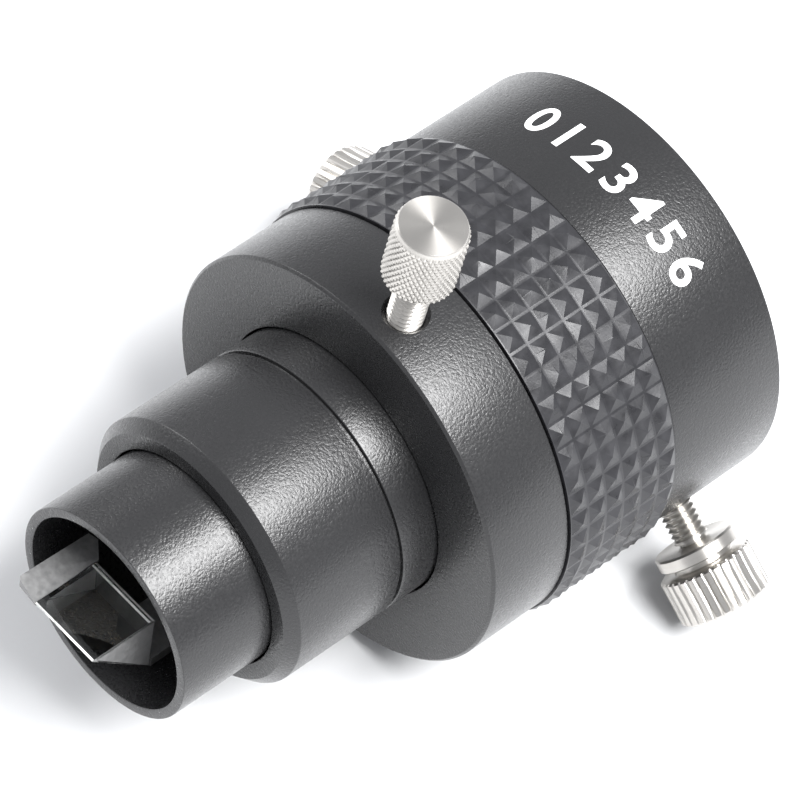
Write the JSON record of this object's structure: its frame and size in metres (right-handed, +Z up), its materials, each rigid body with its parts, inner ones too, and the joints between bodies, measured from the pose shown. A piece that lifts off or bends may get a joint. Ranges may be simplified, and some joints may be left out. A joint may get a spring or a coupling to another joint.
{
  "type": "off-axis guider focuser head",
  "caption": "Black turned body with a helical focus ring, a camera socket at one end, a prism in the nose at the other, and knurled thumbscrews.",
  "frame": {"origin": "under the middle of the part's length, on the optical axis's plane of symmetry, level with the lowest tips of the focus ring's knurl", "axes": "+Y along the optical axis from the prism nose to the camera socket, +Z up towards the prism clamp screw, +X to the right seen from the nose with +Z up"},
  "size_m": [0.07, 0.0792, 0.0655],
  "materials": {
    "black_anodised": "bead blasted and anodised black",
    "ring_anodised": "cut knurl, satin black anodised",
    "inner_black": "matt black anodised",
    "stainless": "turned stainless steel",
    "brass": "turned brass",
    "nylon": "natural nylon",
    "glass": "polished, with a mirrored sloping face"
  },
  "bodies": {
    "main_body": {"drum": "black_anodised", "guide_tube": "inner_black", "flange_screw_1": "stainless", "flange_screw_2": "stainless", "flange_screw_3": "stainless", "front_slip_washer": "nylon", "rear_slip_washer": "nylon", "ring_retainer": "inner_black"},
    "focus_ring": {"focus_ring": "ring_anodised"},
    "camera_holder": {"holder_sleeve": "black_anodised", "drawtube": "inner_black", "follower_pin": "stainless", "compression_ring": "brass"},
    "prism_barrel": {"prism_barrel": "black_anodised", "retaining_ring": "inner_black", "field_stop": "inner_black"},
    "prism_nose": {"nose_tube": "black_anodised", "prism": "glass", "prism_cradle": "inner_black", "cradle_screw_1": "stainless", "cradle_screw_2": "stainless"},
    "clamp_pad": {"clamp_pad": "nylon"},
    "clamp_screw": {"clamp_screw": "stainless"},
    "holder_right_pad": {"holder_pad_right": "brass"},
    "holder_right_screw": {"holder_screw_right": "stainless"},
    "holder_left_pad": {"holder_pad_left": "brass"},
    "holder_left_screw": {"holder_screw_left": "stainless"}
  },
  "joints": [
    {"name": "focus_turn", "type": "hinge", "parent": "main_body", "child": "focus_ring", "pos_m": [0, 0.016, 0.02525], "axis": [0, 1, 0], "range_deg": [0, 300]},
    {"name": "focus_slide", "type": "slide", "parent": "main_body", "child": "camera_holder", "axis": [0, 1, 0], "range_m": [0, 0.007]},
    {"name": "barrel_slide", "type": "slide", "parent": "main_body", "child": "prism_barrel", "axis": [0, 1, 0], "range_m": [-0.003, 0.003]},
    {"name": "nose_turn", "type": "hinge", "parent": "prism_barrel", "child": "prism_nose", "pos_m": [0, -0.0261, 0.02525], "axis": [0, 1, 0], "range_deg": [-90, 90]},
    {"name": "clamp_travel", "type": "slide", "parent": "main_body", "child": "clamp_pad", "axis": [-0.0314, 0, 0.9995], "range_m": [0, 0.0021]},
    {"name": "clamp_turn", "type": "hinge", "parent": "clamp_pad", "child": "clamp_screw", "pos_m": [-0.00094, 0.0022, 0.05523], "axis": [-0.0314, 0, 0.9995], "range_deg": [0, 1080]},
    {"name": "holder_right_travel", "type": "slide", "parent": "camera_holder", "child": "holder_right_pad", "axis": [0.8712, 0, -0.4909], "range_m": [0, 0.0014]},
    {"name": "holder_right_turn", "type": "hinge", "parent": "holder_right_pad", "child": "holder_right_screw", "pos_m": [0.02614, 0.03165, 0.01052], "axis": [0.8712, 0, -0.4909], "range_deg": [0, 720]},
    {"name": "holder_left_travel", "type": "slide", "parent": "camera_holder", "child": "holder_left_pad", "axis": [-0.8712, 0, -0.4909], "range_m": [0, 0.0014]},
    {"name": "holder_left_turn", "type": "hinge", "parent": "holder_left_pad", "child": "holder_left_screw", "pos_m": [-0.02614, 0.03165, 0.01052], "axis": [-0.8712, 0, -0.4909], "range_deg": [0, 720]}
  ],
  "couplings": [
    {"joint": "focus_turn", "follows": "focus_slide", "rad_per_m": 747.99},
    {"joint": "clamp_turn", "follows": "clamp_travel", "rad_per_m": 8975.9},
    {"joint": "holder_right_turn", "follows": "holder_right_travel", "rad_per_m": 8975.9},
    {"joint": "holder_left_turn", "follows": "holder_left_travel", "rad_per_m": 8975.9}
  ]
}
